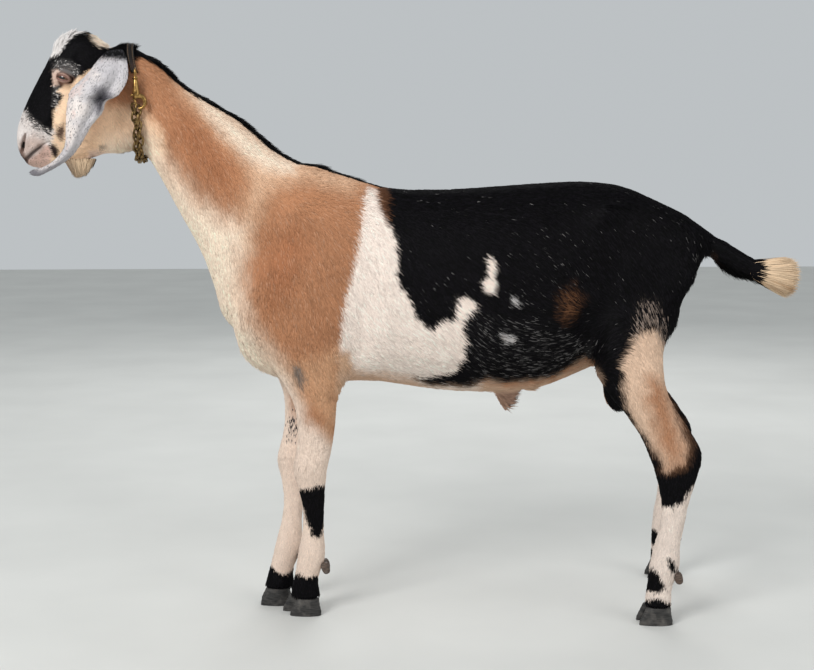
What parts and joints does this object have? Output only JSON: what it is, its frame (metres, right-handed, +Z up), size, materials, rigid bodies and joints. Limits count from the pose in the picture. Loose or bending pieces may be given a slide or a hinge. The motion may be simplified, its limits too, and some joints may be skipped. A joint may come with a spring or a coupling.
{
  "type": "mini nubian goat, still life-size model",
  "caption": "Young male mini Nubian goat standing square with its head up, long hanging ears, its tail held out with a pale brush, and a strap and chain collar.",
  "frame": {"origin": "the middle of the goat's box, on the floor between its feet", "axes": "+Z up; the goat faces -X and its left side is towards -Y"},
  "size_m": [1.1928, 0.2796, 0.8894],
  "materials": {
    "tan_coat": "short smooth tan hair",
    "black_coat": "short glossy black hair",
    "cream_coat": "short cream white hair",
    "grey_coat": "short grey hair with fine black speckles",
    "horn": "dark grey hoof horn, dull",
    "dewclaw_horn": "brown horn, dull",
    "eye": "wet amber brown eye",
    "leather": "worn brown leather",
    "brass": "aged brass"
  },
  "bodies": {
    "root": {"collar_chain": "brass", "collar_snap": "brass", "collar_strap": "leather", "dewclaw_fore_left_far": "dewclaw_horn", "dewclaw_fore_left_near": "dewclaw_horn", "dewclaw_fore_right_far": "dewclaw_horn", "dewclaw_fore_right_near": "dewclaw_horn", "dewclaw_hind_left_far": "dewclaw_horn", "dewclaw_hind_left_near": "dewclaw_horn", "dewclaw_hind_right_far": "dewclaw_horn", "dewclaw_hind_right_near": "dewclaw_horn", "ear_left": "grey_coat", "ear_right": "grey_coat", "eye_left": "eye", "eye_right": "eye", "foreleg_lower_left": "cream_coat", "foreleg_lower_right": "cream_coat", "foreleg_upper_left": "tan_coat", "foreleg_upper_right": "tan_coat", "head": "tan_coat", "hindleg_lower_left": "cream_coat", "hindleg_lower_right": "cream_coat", "hindleg_upper_left": "black_coat", "hindleg_upper_right": "black_coat", "hoof_fore_left_far": "horn", "hoof_fore_left_near": "horn", "hoof_fore_right_far": "horn", "hoof_fore_right_near": "horn", "hoof_hind_left_far": "horn", "hoof_hind_left_near": "horn", "hoof_hind_right_far": "horn", "hoof_hind_right_near": "horn", "jaw": "cream_coat", "neck": "tan_coat", "scrotum": "black_coat", "sheath": "cream_coat", "tail": "black_coat", "torso": "tan_coat"}
  },
  "joints": []
}
